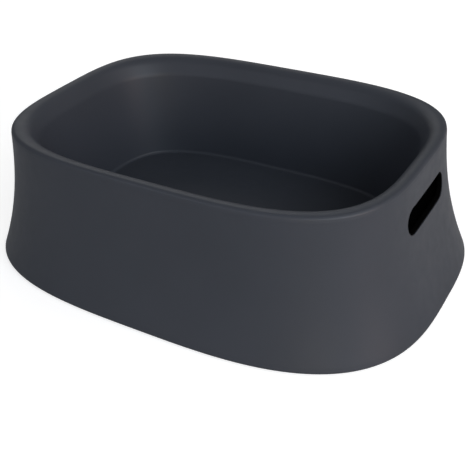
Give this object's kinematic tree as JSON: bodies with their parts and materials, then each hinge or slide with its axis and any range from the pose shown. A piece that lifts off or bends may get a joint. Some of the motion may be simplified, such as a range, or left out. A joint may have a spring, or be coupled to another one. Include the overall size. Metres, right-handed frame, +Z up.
{
  "type": "pet bathtub",
  "caption": "Free-standing pet bathtub with a flared outer skin, a smooth basin, a hand slot at each end and a drain with a lift-out stopper.",
  "frame": {"origin": "on the ground, under the middle of the tub", "axes": "+X along the tub towards the end with the drain, +Y across it, +Z up"},
  "size_m": [0.7206, 0.531, 0.215],
  "materials": {
    "shell_plastic": "satin",
    "panel_plastic": "fine texture",
    "cup_plastic": "matt",
    "fitting_plastic": "moulded",
    "rubber": "matt",
    "steel": "satin stainless"
  },
  "bodies": {
    "tub": {"inner_basin": "shell_plastic", "outer_skirt": "shell_plastic", "base_panel": "panel_plastic", "handle_cup_left": "cup_plastic", "handle_cup_right": "cup_plastic", "drain_waste": "steel", "drain_strainer": "steel", "drain_gasket": "rubber", "drain_washer": "rubber", "drain_locknut": "fitting_plastic", "support_screw_1": "steel", "support_screw_2": "steel", "support_screw_3": "steel", "support_screw_4": "steel", "support_screw_5": "steel", "support_screw_6": "steel", "edge_screw_1": "steel", "edge_screw_2": "steel", "edge_screw_3": "steel", "edge_screw_4": "steel", "edge_screw_5": "steel", "edge_screw_6": "steel", "edge_screw_7": "steel", "edge_screw_8": "steel", "foot_left_front": "rubber", "foot_left_back": "rubber", "foot_right_front": "rubber", "foot_right_back": "rubber", "foot_middle_front": "rubber", "foot_middle_back": "rubber"},
    "stopper": {"drain_stopper": "rubber", "stopper_eye": "steel"},
    "ring": {"pull_ring": "steel"}
  },
  "joints": [
    {"name": "stopper_lift", "type": "slide", "parent": "tub", "child": "stopper", "axis": [0, 0, 1], "range_m": [0, 0.2]},
    {"name": "ring_fold", "type": "hinge", "parent": "stopper", "child": "ring", "pos_m": [0.15, 0, 0.0417], "axis": [0, -1, 0], "range_deg": [0, 180]}
  ]
}
